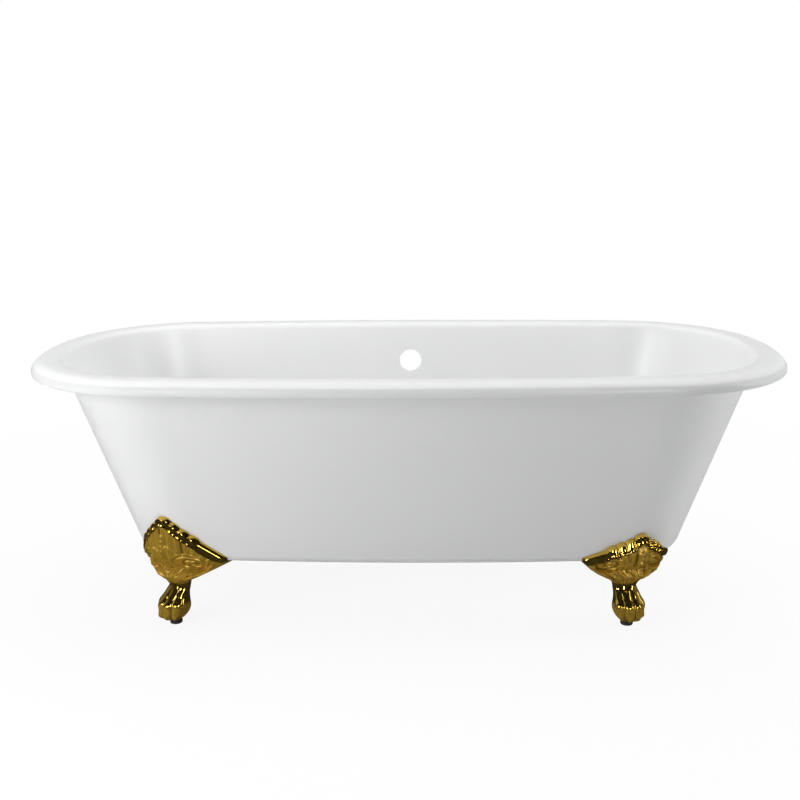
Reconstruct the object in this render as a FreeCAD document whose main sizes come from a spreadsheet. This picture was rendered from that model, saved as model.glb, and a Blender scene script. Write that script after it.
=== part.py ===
"""Double-ended clawfoot bathtub in cast iron, 1.70 m long, on four ball-and-claw feet.

Millimetres. Z is up, the floor is z = 0 under the middle of the tub, X runs along the tub and the
overflow hole is in the wall at +Y. Each foot hangs on a bolt whose head slides into a keeper cast
under the tub, and stands on a levelling screw with a glide.
"""

import FreeCAD, Part
import math
import os
import Sketcher
from FreeCAD import Rotation, Vector

os.makedirs("parts", exist_ok=True)
doc = FreeCAD.newDocument("bathtub")


# ---------------------------------------------------------------- driving dimensions

DIMENSIONS = [
    # the tub as a whole
    ("tub_length", 1700.0, "over the rim"),
    ("tub_width", 765.0, "over the rim"),
    ("rim_height", 600.0, "top of the rim above the floor"),
    ("base_length", 1258.0, "of the body at its underside, before the corner is rounded"),
    ("base_width", 418.0, "of the body at its underside, before the corner is rounded"),
    ("base_clearance", 146.0, "underside of the body above the floor"),
    ("base_radius", 30.0, "rounding between the body's wall and its underside"),
    ("wall_thickness", 7.0, "cast iron with its enamel"),
    ("floor_thickness", 9.0, "of the basin's floor"),
    ("basin_radius", 48.0, "rounding between the basin's wall and floor"),
    # plan ovals: two end arcs, two side arcs and four shoulder arcs, all tangent
    ("end_arc_angle", 8.0, "degrees that each end arc takes on either side of the long axis"),
    ("side_arc_angle", 4.0, "degrees that each side arc takes on either side of the short axis"),
    ("shoulder_offset", 42.0, "shoulder arc centres off the long axis, at the rim"),
    ("base_shoulder_offset", 21.0, "shoulder arc centres off the long axis, at the underside"),
    # rolled rim
    ("rim_overhang", 64.0, "outer edge of the rim past the body's wall"),
    ("rim_depth", 30.0, "top of the rim to the edge of its curl"),
    ("rim_thickness", 7.0, "of the curl"),
    ("rim_roll_radius", 26.0, "outer rounding of the curl"),
    ("rim_inner_radius", 22.0, "rounding from the rim into the basin"),
    # water holes
    ("overflow_diameter", 58.0, "hole in the back wall"),
    ("overflow_drop", 96.0, "rim top to the middle of the overflow hole"),
    ("drain_diameter", 52.0, "hole in the floor"),
    ("drain_offset", 60.0, "drain off the long axis, towards the overflow"),
    ("drain_seat_diameter", 84.0, "shallow seat round the drain"),
    ("drain_seat_depth", 3.0, "depth of that seat"),
    # keepers cast under the tub, with a slot for the head of the foot bolt
    ("keeper_length", 54.0, "along the slot"),
    ("keeper_width", 46.0, "across the slot"),
    ("keeper_height", 20.0, "below the underside"),
    ("keeper_lip", 7.0, "thickness of the lips that carry the bolt head"),
    ("keeper_setback", 44.0, "foot's axis to the near end of the keeper"),
    # feet
    ("front_left_end_inset", 104.0, "foot's axis in from the end of the base"),
    ("front_right_end_inset", 136.0, "foot's axis in from the end of the base"),
    ("rear_end_inset", 120.0, "foot's axis in from the end of the base"),
    ("foot_side_inset", 22.0, "foot's axis in from the side of the base"),
    ("front_left_splay", 40.0, "degrees that the toes point outwards of straight ahead"),
    ("front_right_splay", 20.0, "degrees that the toes point outwards of straight ahead"),
    ("rear_splay", 30.0, "degrees that the toes point outwards of straight back"),
    ("front_left_crest", 116.0, "top of the foot's shield above the underside of the tub"),
    ("front_right_crest", 76.0, "top of the foot's shield above the underside of the tub"),
    ("rear_crest", 96.0, "top of the foot's shield above the underside of the tub"),
    ("front_left_crest_shift", 6.0, "crest off the foot's middle, across the toes' direction"),
    ("front_right_crest_shift", 16.0, "crest off the foot's middle, across the toes' direction"),
    ("rear_crest_shift", 4.0, "crest off the foot's middle, across the toes' direction"),
    ("shield_half_width", 105.0, "middle of the shield to the tip of a wing"),
    ("shield_tip_rise", 14.0, "wing tip above the underside of the tub"),
    ("shield_foot_drop", 29.0, "lower edge of the shield's outline below the underside of the tub"),
    ("shield_foot_half_width", 64.0, "half of that edge"),
    ("shield_tuck", 16.0, "how far the shield reaches in under the edge of the tub's underside"),
    ("shield_thickness", 13.0, "of the shield in front of the tub's wall"),
    ("shield_reach", 90.0, "how far the shield may wrap forwards and back of the foot's axis"),
    ("crest_lobe_half_width", 17.0, "middle lobe of the scalloped edge"),
    ("crest_lobe_height", 15.0, "of that lobe"),
    ("knee_rise", 22.0, "widest section of the leg above the underside of the tub"),
    ("knee_width", 132.0, "across the toes' direction"),
    ("knee_depth", 70.0, "along the toes' direction"),
    ("knee_forward", 4.0, "middle of that section in front of the foot's axis"),
    ("brow_drop", 22.0, "top section of the leg below the crest"),
    ("brow_width", 44.0, "across the toes' direction"),
    ("brow_depth", 20.0, "along the toes' direction"),
    ("brow_forward", 38.0, "middle of that section in front of the foot's axis"),
    ("web_drop", 25.0, "section under the wings, below the underside of the tub"),
    ("web_width", 120.0, "across the toes' direction"),
    ("web_depth", 60.0, "along the toes' direction"),
    ("web_setback", 9.0, "middle of that section behind the foot's axis"),
    ("neck_height", 92.0, "narrowest place of the foot above the floor"),
    ("neck_width", 60.0, "across the toes' direction"),
    ("neck_depth", 44.0, "along the toes' direction"),
    ("neck_setback", 19.0, "middle of the neck behind the foot's axis"),
    ("ankle_height", 74.0, "where the toes begin, above the floor"),
    ("ankle_width", 60.0, "across the toes' direction"),
    ("ankle_depth", 50.0, "along the toes' direction"),
    ("ankle_setback", 8.0, "middle of that section behind the foot's axis"),
    ("ball_radius", 33.0, "ball that the claws grip"),
    ("ball_clearance", 10.0, "underside of the ball above the floor"),
    ("toe_radius", 9.0, "thickness of a toe, as a radius"),
    ("toe_proud", 6.0, "how far a toe stands out of the ball"),
    ("toe_spread", 40.0, "degrees between the front toes"),
    ("toe_start", 32.0, "degrees down from the top of the ball where a toe begins"),
    ("toe_sweep", 74.0, "degrees that a toe goes round the ball"),
    ("claw_length", 26.0, "past the end of the toe"),
    ("claw_tip_radius", 2.0, "end of a claw"),
    ("lug_thickness", 12.0, "tongue of the foot that the bolt holds"),
    ("lug_width", 44.0, "of that tongue"),
    ("lug_end", 96.0, "end of that tongue behind the foot's axis"),
    ("lug_root", 12.0, "where the tongue ends in the leg's front wall, ahead of the foot's axis"),
    ("casting_wall", 9.0, "of the leg, which is open at the back above the neck"),
    ("seat_gap", 0.3, "between the tub's wall and the foot's saddle"),
    # foot bolt, washer and nut
    ("bolt_diameter", 10.0, "M10"),
    ("bolt_head_width", 16.0, "square head"),
    ("bolt_head_height", 7.0, "square head"),
    ("bolt_setback", 70.0, "bolt behind the foot's axis"),
    ("bolt_end", 6.0, "bolt past its nut"),
    ("bolt_nut_width", 17.0, "across flats"),
    ("bolt_nut_height", 8.0, "height of the nut"),
    ("washer_diameter", 21.0, "outside"),
    ("washer_thickness", 2.0, "thickness of the washer"),
    ("slip_gap", 0.3, "round a bolt in its hole, and round its head in the slot"),
    # levelling screw, its captive nut and its glide
    ("screw_diameter", 12.0, "M12"),
    ("screw_length", 69.0, "levelling screw from end to end"),
    ("screw_gap", 0.3, "round the screw in its nut and in the foot"),
    ("screw_nut_width", 18.0, "across flats, pressed into the ball"),
    ("screw_nut_height", 10.0, "height of the captive nut"),
    ("screw_nut_recess", 2.0, "nut above the underside of the ball"),
    ("screw_hex_width", 14.0, "across flats, where a spanner turns the screw"),
    ("screw_stop_gap", 0.3, "that hexagon below the captive nut, with the screw turned fully in"),
    ("screw_foot_diameter", 14.0, "end of the screw that turns in the glide"),
    ("glide_diameter", 28.0, "rubber glide on the floor"),
    ("glide_height", 7.0, "height of the glide"),
    ("glide_floor", 3.0, "rubber under the end of the screw"),
    ("glide_rounding", 1.5, "lower edge of the glide"),
    ("glide_gap", 0.3, "round the end of the screw in the glide"),
]

sheet = doc.addObject("Spreadsheet::Sheet", "Sizes")
for row, (alias, number, meaning) in enumerate(DIMENSIONS, start=1):
    sheet.set(f"A{row}", alias)
    sheet.set(f"B{row}", str(number))
    sheet.set(f"C{row}", meaning)
    sheet.setAlias(f"B{row}", alias)
doc.recompute()


# ---------------------------------------------------------------- sizes that follow the sheet


class Size:
    """A number worked out from the sheet, together with the sheet formula that gives it."""

    def __init__(self, value, formula):
        self.value = value
        self.formula = formula

    def __add__(self, other):
        other = as_size(other)
        return Size(self.value + other.value, f"({self.formula} + {other.formula})")

    def __sub__(self, other):
        other = as_size(other)
        return Size(self.value - other.value, f"({self.formula} - {other.formula})")

    def __mul__(self, other):
        other = as_size(other)
        return Size(self.value * other.value, f"({self.formula} * {other.formula})")

    def __truediv__(self, other):
        other = as_size(other)
        return Size(self.value / other.value, f"({self.formula} / {other.formula})")

    def __rsub__(self, other):
        return as_size(other) - self

    def __rtruediv__(self, other):
        return as_size(other) / self

    def __neg__(self):
        return Size(-self.value, f"(0 - {self.formula})")

    __radd__ = __add__
    __rmul__ = __mul__


UP = Vector(0, 0, 1)


def as_size(number):
    return number if isinstance(number, Size) else Size(float(number), repr(float(number)))


def sin(angle):
    return Size(math.sin(math.radians(angle.value)), f"sin({angle.formula})")


def cos(angle):
    return Size(math.cos(math.radians(angle.value)), f"cos({angle.formula})")


def tan(angle):
    return Size(math.tan(math.radians(angle.value)), f"tan({angle.formula})")


def lean_angle(across, up):
    """Degrees off the vertical of a wall that goes so far across in so far up."""
    angle = math.degrees(math.atan2(across.value, up.value))
    return Size(angle, f"(atan({across.formula} / {up.formula}) / 1 deg)")


def root(number):
    return Size(math.sqrt(number.value), f"sqrt({number.formula})")


def square(number):
    return number * number


class Sheet:
    """The driving dimensions by name, each as a Size."""

    def __getattr__(self, alias):
        return Size(float(sheet.get(alias)), f"Sizes.{alias}")


d = Sheet()


def bind(item, **sizes):
    """Ties properties of an object to the sheet."""
    for name, number in sizes.items():
        item.setExpression(name, as_size(number).formula)


def place(item, x=0, y=0, z=0, turn=None):
    """Ties an object's place to the sheet, and its turn about the vertical."""
    for axis, number in (("x", x), ("y", y), ("z", z)):
        item.setExpression(f"Placement.Base.{axis}", as_size(number).formula)
    if turn is not None:
        item.Placement.Rotation = Rotation(UP, turn.value)
        item.setExpression("Placement.Rotation.Angle", turn.formula)
    return item


# ---------------------------------------------------------------- outlines and simple solids


def draw_outline(sketch, corners, radii):
    """Closes an outline through corners, anticlockwise; each side is an arc, or straight if None.

    A side with a radius bulges outwards, or inwards where the radius is negative.
    """
    count = len(corners)
    ends = []
    for i, radius in enumerate(radii):
        first, last = corners[i], corners[(i + 1) % count]
        start = Vector(first[0].value, first[1].value, 0)
        end = Vector(last[0].value, last[1].value, 0)
        if radius is None:
            sketch.addGeometry(Part.LineSegment(start, end), False)
            ends.append((1, 2))
            continue
        size = abs(radius.value)
        sag = math.copysign(size - math.sqrt(size ** 2 - (end - start).Length ** 2 / 4), radius.value)
        outwards = Vector(end.y - start.y, start.x - end.x, 0).normalize()
        sketch.addGeometry(Part.Arc(start, (start + end) / 2 + outwards * sag, end), False)
        ends.append((1, 2) if radius.value > 0 else (2, 1))
    for i in range(count):
        after = (i + 1) % count
        sketch.addConstraint(Sketcher.Constraint("Coincident", i, ends[i][1], after, ends[after][0]))
    for i, (x, y) in enumerate(corners):
        for kind, number in (("DistanceX", x), ("DistanceY", y)):
            fixed = Sketcher.Constraint(kind, i, ends[i][0], number.value)
            tie_constraint(sketch, fixed, f"{kind}{i}", number)
    for i, radius in enumerate(radii):
        if radius is not None:
            size = radius if radius.value > 0 else -radius
            tie_constraint(sketch, Sketcher.Constraint("Radius", i, size.value), f"Radius{i}", size)


def arc_radius(first, last, bulge):
    """Radius of the arc between two corners whose middle stands off by a bulge times half the chord."""
    half_chord = root(square(last[0] - first[0]) + square(last[1] - first[1])) / 2
    return half_chord * (bulge + 1 / bulge) / 2


def tie_constraint(sketch, constraint, name, number):
    index = sketch.addConstraint(constraint)
    sketch.renameConstraint(index, name)
    sketch.setExpression(f"Constraints.{name}", number.formula)


def body_sketch(body, name, plane, offset):
    """A sketch on one of the body's own planes, moved along the plane's normal."""
    sketch = body.newObject("Sketcher::SketchObject", name)
    origin_plane = [f for f in body.Origin.OriginFeatures if f.Role == plane][0]
    sketch.AttachmentSupport = [(origin_plane, "")]
    sketch.MapMode = "FlatFace"
    sketch.setExpression("AttachmentOffset.Base.z", as_size(offset).formula)
    return sketch


def solid(kind, name, **sizes):
    item = doc.addObject(f"Part::{kind}", name)
    bind(item, **sizes)
    return item


def boolean(kind, name, **inputs):
    """A boolean that keeps every face as it is cut, without merging faces afterwards."""
    item = doc.addObject(f"Part::{kind}", name)
    for link, value in inputs.items():
        setattr(item, link, value)
    item.Refine = False
    return item


def fused(name, pieces):
    return boolean("MultiFuse", name, Shapes=pieces)


def cut(name, base, tool):
    return boolean("Cut", name, Base=base, Tool=tool)


def common(name, base, tool):
    return boolean("Common", name, Base=base, Tool=tool)


def hexagon(name, width, height):
    """A six-sided prism given by its width across flats."""
    prism = solid("Prism", name, Circumradius=width / 2 / cos(Size(30.0, "30")), Height=height)
    prism.Polygon = 6
    return prism


# ---------------------------------------------------------------- the tub's ovals


class Level:
    """The body's outer oval at one height, before its lower corner is rounded.

    The walls are straight from the underside to the rim, so each size goes evenly with height.
    """

    def __init__(self, height):
        top = d.rim_height - d.rim_thickness
        share = (height - d.base_clearance) / (top - d.base_clearance)
        top_half_length = d.tub_length / 2 - d.rim_overhang
        top_half_width = d.tub_width / 2 - d.rim_overhang
        self.half_length = d.base_length / 2 + (top_half_length - d.base_length / 2) * share
        self.half_width = d.base_width / 2 + (top_half_width - d.base_width / 2) * share
        self.offset = d.base_shoulder_offset + (d.shoulder_offset - d.base_shoulder_offset) * share


def oval(sketch, half_length, half_width, offset):
    """Eight tangent arcs: ends, shoulders and sides, with the shoulder centres off the long axis."""
    end_slope = tan(d.end_arc_angle / 2)
    side_slope = tan(d.side_arc_angle / 2)
    centre_x = (half_length - half_width + offset * (1 - end_slope)) / (1 - side_slope)
    shoulder = half_length - centre_x - offset * end_slope
    near_end = (centre_x + shoulder * cos(d.end_arc_angle), offset + shoulder * sin(d.end_arc_angle))
    near_side = (centre_x + shoulder * sin(d.side_arc_angle), offset + shoulder * cos(d.side_arc_angle))
    corners = [near_end, near_side]
    corners += [(-x, y) for x, y in reversed(corners)]
    corners += [(-x, -y) for x, y in corners]
    end = shoulder + offset / sin(d.end_arc_angle)
    side = shoulder + centre_x / sin(d.side_arc_angle)
    draw_outline(sketch, corners, [shoulder, side, shoulder, end] * 2)


def level_sketch(body, name, height, inset):
    """The body's oval at a height, drawn in by an inset or let out where it is negative."""
    level = Level(height)
    sketch = body_sketch(body, name, "XY_Plane", height)
    oval(sketch, level.half_length - inset, level.half_width - inset, level.offset)
    return sketch


def rim_sketch(body, name, height, inset):
    sketch = body_sketch(body, name, "XY_Plane", height)
    oval(sketch, d.tub_length / 2 - inset, d.tub_width / 2 - inset, d.shoulder_offset)
    return sketch


def flat_face_edges(shape, height, largest):
    """Names of the edges round a level face: its outer wire, or its innermost one."""
    faces = [f for f in shape.Faces if abs(f.BoundBox.ZMin - height) < 1e-4
             and abs(f.BoundBox.ZMax - height) < 1e-4]
    wires = [w for f in faces for w in f.Wires]
    pick = max if largest else min
    wire = pick(wires, key=lambda w: w.BoundBox.XLength)
    names = []
    for i, edge in enumerate(shape.Edges, start=1):
        if any(edge.isSame(other) for other in wire.Edges):
            names.append(f"Edge{i}")
    return names


def fillet(body, name, base, height, radius, largest=True):
    doc.recompute()
    item = body.newObject("PartDesign::Fillet", name)
    item.Base = (base, flat_face_edges(base.Shape, height.value, largest))
    bind(item, Radius=radius)
    return item


def loft(body, kind, name, upper, lower):
    item = body.newObject(f"PartDesign::{kind}Loft", name)
    item.Profile = upper
    item.Sections = [lower]
    item.Ruled = True
    return item


def envelope(name, spread):
    """The outside of the tub's body, let out all round: what a foot's saddle is shaped to."""
    body = doc.addObject("PartDesign::Body", name)
    top = d.rim_height - d.rim_depth
    lower = d.base_clearance - spread
    upper_oval = level_sketch(body, f"{name}_upper_oval", top, -spread)
    lower_oval = level_sketch(body, f"{name}_lower_oval", lower, -spread)
    wall = loft(body, "Additive", f"{name}_wall", upper_oval, lower_oval)
    fillet(body, f"{name}_corner", wall, lower, d.base_radius + spread)
    return body


# ---------------------------------------------------------------- feet: where they stand


class Foot:
    """Place and direction of one foot; its own X points along the toes."""

    def __init__(self, name, end, side, end_inset, splay, crest, crest_shift):
        self.name = name
        self.x = (d.base_length / 2 - end_inset) * end
        self.y = (d.base_width / 2 - d.foot_side_inset) * side
        self.turn = (90 - splay * end) * side
        self.crest = crest
        self.crest_shift = crest_shift

    def put(self, item, forward=0, across=0, height=0):
        """Ties a piece's place and turn to the foot's: so far forward, across and above the floor."""
        across = as_size(across)
        forward = as_size(forward)
        x = self.x + forward * cos(self.turn) - across * sin(self.turn)
        y = self.y + forward * sin(self.turn) + across * cos(self.turn)
        return place(item, x, y, height, self.turn)


FEET = [
    Foot("front_left", -1, -1, d.front_left_end_inset, d.front_left_splay, d.front_left_crest,
         d.front_left_crest_shift),
    Foot("front_right", 1, -1, d.front_right_end_inset, d.front_right_splay, d.front_right_crest,
         d.front_right_crest_shift),
    Foot("rear_left", -1, 1, d.rear_end_inset, d.rear_splay, d.rear_crest, d.rear_crest_shift),
    Foot("rear_right", 1, 1, d.rear_end_inset, d.rear_splay, d.rear_crest, d.rear_crest_shift),
]

# heights of what is stacked on the foot bolt
KEEPER_FOOT = d.base_clearance - d.keeper_height
HEAD_SEAT = KEEPER_FOOT + d.keeper_lip
LUG_FOOT = KEEPER_FOOT - d.lug_thickness
WASHER_FOOT = LUG_FOOT - d.washer_thickness
NUT_FOOT = WASHER_FOOT - d.bolt_nut_height

# heights in the paw
BALL_HEIGHT = d.ball_clearance + d.ball_radius
SCREW_NUT_FOOT = d.ball_clearance + d.screw_nut_recess


# ---------------------------------------------------------------- tub shell


def tub_shell():
    """One casting: body, rolled rim, basin, water holes and the four keepers underneath."""
    body = doc.addObject("PartDesign::Body", "casting")
    curl_edge = d.rim_height - d.rim_depth
    rim_underside = d.rim_height - d.rim_thickness
    floor = d.base_clearance + d.floor_thickness

    plate = body.newObject("PartDesign::Pad", "rim_plate")
    plate.Profile = rim_sketch(body, "rim_oval", curl_edge, 0)
    bind(plate, Length=d.rim_depth)
    hollow = body.newObject("PartDesign::Pocket", "rim_hollow")
    hollow.Profile = rim_sketch(body, "hollow_oval", curl_edge, d.rim_thickness)
    hollow.Reversed = True
    bind(hollow, Length=d.rim_depth - d.rim_thickness)
    curl = fillet(body, "rim_curl", hollow, rim_underside, d.rim_roll_radius - d.rim_thickness)
    fillet(body, "rim_roll", curl, d.rim_height, d.rim_roll_radius)

    upper_oval = level_sketch(body, "wall_upper_oval", rim_underside, 0)
    lower_oval = level_sketch(body, "wall_lower_oval", d.base_clearance, 0)
    wall = loft(body, "Additive", "wall", upper_oval, lower_oval)
    fillet(body, "base_corner", wall, d.base_clearance, d.base_radius)
    hollowed = body.newObject("PartDesign::Boolean", "hollowed")
    hollowed.Type = "Cut"
    hollowed.setObjects([basin_space()])
    fillet(body, "rim_lip", hollowed, d.rim_height, d.rim_inner_radius, largest=False)
    doc.recompute()

    overflow = overflow_bore()
    drain = solid("Cylinder", "drain_bore", Radius=d.drain_diameter / 2, Height=floor)
    place(drain, 0, d.drain_offset, d.base_clearance / 2)
    seat = solid("Cylinder", "drain_seat", Radius=d.drain_seat_diameter / 2, Height=floor)
    place(seat, 0, d.drain_offset, floor - d.drain_seat_depth)

    keepers = [keeper(foot) for foot in FEET]
    slots = [slot for foot in FEET for slot in bolt_slot(foot)]
    whole = fused("casting_with_keepers", [body] + keepers)
    return cut("tub_shell", whole, fused("tub_openings", [overflow, drain, seat] + slots))


def basin_space():
    """The room for the water: the wall's inside, drawn in by its thickness, with a rounded floor."""
    body = doc.addObject("PartDesign::Body", "basin_space")
    floor = d.base_clearance + d.floor_thickness
    mouth_oval = level_sketch(body, "mouth_oval", d.rim_height, d.wall_thickness)
    floor_oval = level_sketch(body, "floor_oval", floor, d.wall_thickness)
    walls = loft(body, "Additive", "basin_walls", mouth_oval, floor_oval)
    fillet(body, "basin_corner", walls, floor, d.basin_radius)
    return body


def overflow_bore():
    """Square to the leaning wall, with its middle on the wall's outside."""
    height = d.rim_height - d.overflow_drop
    wall_foot = Level(d.base_clearance).half_width
    wall_here = Level(height).half_width
    lean = lean_angle(wall_here - wall_foot, height - d.base_clearance)
    reach = d.overflow_diameter / 2
    bore = solid("Cylinder", "overflow_bore", Radius=d.overflow_diameter / 2, Height=reach * 2)
    place(bore, 0, wall_here - reach * cos(lean), height + reach * sin(lean))
    bore.Placement.Rotation = Rotation(Vector(-1, 0, 0), (90 + lean).value)
    bore.setExpression("Placement.Rotation.Angle", (90 + lean).formula)
    return bore


def keeper(foot):
    """Block under the tub, rooted half way into the floor."""
    root_height = d.floor_thickness / 2
    block = solid("Box", f"keeper_{foot.name}", Length=d.keeper_length, Width=d.keeper_width,
                  Height=d.keeper_height + root_height)
    return foot.put(block, -d.keeper_setback - d.keeper_length, -d.keeper_width / 2, KEEPER_FOOT)


def bolt_slot(foot):
    """T-slot from the keeper's inner end to just past the bolt: a neck and a wider head space."""
    inner_end = -d.keeper_setback - d.keeper_length
    stop = -d.bolt_setback + d.bolt_head_width / 2 + d.slip_gap
    pieces = []
    for name, width, foot_of_cut, top in (
        ("neck", d.bolt_diameter, KEEPER_FOOT, HEAD_SEAT),
        ("head", d.bolt_head_width, HEAD_SEAT, HEAD_SEAT + d.bolt_head_height + d.slip_gap),
    ):
        box = solid("Box", f"slot_{name}_{foot.name}", Length=stop - inner_end,
                    Width=width + d.slip_gap * 2, Height=top - foot_of_cut)
        pieces.append(foot.put(box, inner_end, -width / 2 - d.slip_gap, foot_of_cut))
    return pieces


# ---------------------------------------------------------------- feet

UPRIGHT = Rotation(Vector(0, 1, 0), Vector(0, 0, 1), Vector(1, 0, 0), "XYZ")
SCALLOP_SHARES = (0.46, 0.64, 0.82)
SCALLOP_BULGE = as_size(0.55)
WING_BULGE = as_size(0.15)


def shield(foot):
    """Front outline of the foot's plate, scalloped along the top, as a thick upright slab."""
    crest = d.base_clearance + foot.crest
    flanks = []
    for side in (1, -1):
        foot_corner = (d.shield_foot_half_width * side, d.base_clearance - d.shield_foot_drop)
        tip = (d.shield_half_width * side, d.base_clearance + d.shield_tip_rise)
        shoulder = (foot.crest_shift + d.crest_lobe_half_width * side, crest - d.crest_lobe_height)
        scallops = [tuple(low + (high - low) * share for low, high in zip(tip, shoulder))
                    for share in SCALLOP_SHARES]
        wing_radius = arc_radius(foot_corner, tip, WING_BULGE)
        scallop_radii = [arc_radius(a, b, SCALLOP_BULGE)
                         for a, b in zip(scallops, scallops[1:] + [shoulder])]
        flanks.append(([foot_corner, tip] + scallops + [shoulder], [wing_radius, None] + scallop_radii))
    (right, right_radii), (left, left_radii) = flanks
    lobe_radius = arc_radius(right[-1], left[-1], d.crest_lobe_height / d.crest_lobe_half_width)
    corners = right + left[::-1]
    radii = right_radii + [lobe_radius] + left_radii[::-1] + [None]
    sketch = doc.addObject("Sketcher::SketchObject", f"shield_outline_{foot.name}")
    draw_outline(sketch, corners, radii)
    slab = doc.addObject("Part::Extrusion", f"shield_slab_{foot.name}")
    slab.Base = sketch
    slab.DirMode = "Custom"
    slab.Dir = UP
    slab.Solid = True
    bind(slab, LengthFwd=d.shield_reach, LengthRev=d.shield_reach)
    place(slab, foot.x, foot.y)
    slab.Placement.Rotation = Rotation(UP, foot.turn.value).multiply(UPRIGHT)
    return slab


def stack(name, foot, sections):
    """Solid through level ellipses: height, place ahead of the foot's axis, depth and width."""
    rings = []
    crosswise = foot.turn + 90
    for i, (height, forward, depth, width) in enumerate(sections):
        ring = solid("Ellipse", f"{name}_ring_{foot.name}_{i}", MajorRadius=width / 2, MinorRadius=depth / 2)
        foot.put(ring, forward, 0, height)
        ring.Placement.Rotation = Rotation(UP, crosswise.value)
        ring.setExpression("Placement.Rotation.Angle", crosswise.formula)
        rings.append(ring)
    item = doc.addObject("Part::Loft", f"{name}_{foot.name}")
    item.Sections = rings
    item.Solid = True
    item.Ruled = True
    return item


def leg(foot):
    """From the brow behind the crest, out over the knee, in to the neck and down to the ball.

    The leg is a hollow casting above the neck, open at the back.
    """
    brow = (d.base_clearance + foot.crest - d.brow_drop, d.brow_forward, d.brow_depth, d.brow_width)
    knee = (d.base_clearance + d.knee_rise, d.knee_forward, d.knee_depth, d.knee_width)
    web = (d.base_clearance - d.web_drop, -d.web_setback, d.web_depth, d.web_width)
    neck = (d.neck_height, -d.neck_setback, d.neck_depth, d.neck_width)
    ankle = (d.ankle_height, -d.ankle_setback, d.ankle_depth, d.ankle_width)
    inside_ball = d.ball_radius * 2 - d.toe_proud
    root_of_ball = (BALL_HEIGHT, as_size(0), inside_ball, inside_ball)
    skin = stack("leg_skin", foot, [brow, knee, web, neck, ankle, root_of_ball])
    wall = d.casting_wall
    inside = [(height, forward - wall, depth, width - wall * 2) for height, forward, depth, width in
              (brow, knee, web)]
    inside.append((neck[0] + wall, neck[1] - wall, neck[2] - wall, neck[3] - wall * 2))
    return cut(f"leg_{foot.name}", skin, stack("leg_core", foot, inside))


def paw(foot):
    """Ball with four toes in front and one behind, each a bent bar that ends in a claw."""
    ball = solid("Sphere", f"ball_{foot.name}", Radius=d.ball_radius)
    foot.put(ball, 0, 0, BALL_HEIGHT)
    pieces = [ball]
    ring_radius = d.ball_radius + d.toe_proud - d.toe_radius
    last = d.toe_start + d.toe_sweep
    last_angle = math.radians(last.value)
    front_bearings = [d.toe_spread * steps for steps in (-1.5, -0.5, 0.5, 1.5)]
    for i, bearing in enumerate(front_bearings + [as_size(180)]):
        heading = math.radians((foot.turn + bearing).value)
        outwards = Vector(math.cos(heading), math.sin(heading), 0)
        start = math.radians(d.toe_start.value)
        first = UP * math.cos(start) + outwards * math.sin(start)
        second = outwards * math.cos(start) - UP * math.sin(start)
        toe = solid("Torus", f"toe_{foot.name}_{i}", Radius1=ring_radius, Radius2=d.toe_radius,
                    Angle3=d.toe_sweep)
        foot.put(toe, 0, 0, BALL_HEIGHT)
        toe.setExpression("Placement.Rotation.Angle", None)
        toe.Placement.Rotation = Rotation(first, second, first.cross(second), "XYZ")
        claw = solid("Cone", f"claw_{foot.name}_{i}", Radius1=d.toe_radius, Radius2=d.claw_tip_radius,
                     Height=d.claw_length)
        reach = ring_radius * sin(last)
        rise = ring_radius * cos(last)
        foot.put(claw, reach * cos(bearing), reach * sin(bearing), BALL_HEIGHT + rise)
        claw.setExpression("Placement.Rotation.Angle", None)
        downwards = outwards * math.cos(last_angle) - UP * math.sin(last_angle)
        claw.Placement.Rotation = Rotation(UP, downwards)
        pieces += [toe, claw]
    return pieces


def underside_space():
    """Room below the tub's flat underside, behind the shields' lower edges."""
    body = doc.addObject("PartDesign::Body", "underside_space")
    pad = body.newObject("PartDesign::Pad", "underside_pad")
    pad.Profile = level_sketch(body, "underside_oval", d.base_clearance, d.shield_tuck)
    pad.Reversed = True
    bind(pad, Length=d.keeper_height)
    return body


def foot_casting(foot, tub_outside, saddle_front, below_tub):
    """Shield, leg, paw and bolt lug in one casting, shaped to the tub behind the shield."""
    name = foot.name
    plate = cut(f"plate_{name}", common(f"full_plate_{name}", saddle_front, shield(foot)), below_tub)
    lug = solid("Box", f"lug_{name}", Length=d.lug_end + d.lug_root, Width=d.lug_width,
                Height=d.lug_thickness)
    foot.put(lug, -d.lug_end, -d.lug_width / 2, LUG_FOOT)
    rough = fused(f"rough_foot_{name}", [plate, leg(foot), lug] + paw(foot))
    blank = cut(f"foot_blank_{name}", rough, tub_outside)
    bolt_hole = solid("Cylinder", f"bolt_hole_{name}", Radius=d.bolt_diameter / 2 + d.slip_gap,
                      Height=HEAD_SEAT - WASHER_FOOT)
    foot.put(bolt_hole, -d.bolt_setback, 0, WASHER_FOOT)
    screw_hole = solid("Cylinder", f"screw_hole_{name}", Radius=d.screw_diameter / 2 + d.screw_gap,
                       Height=d.glide_floor + d.screw_length + d.screw_nut_recess)
    foot.put(screw_hole)
    nut_pocket = hexagon(f"nut_pocket_{name}", d.screw_nut_width, SCREW_NUT_FOOT + d.screw_nut_height)
    foot.put(nut_pocket)
    return cut(f"foot_{name}", blank, fused(f"foot_holes_{name}", [bolt_hole, screw_hole, nut_pocket]))


# ---------------------------------------------------------------- fasteners and levellers


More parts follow.
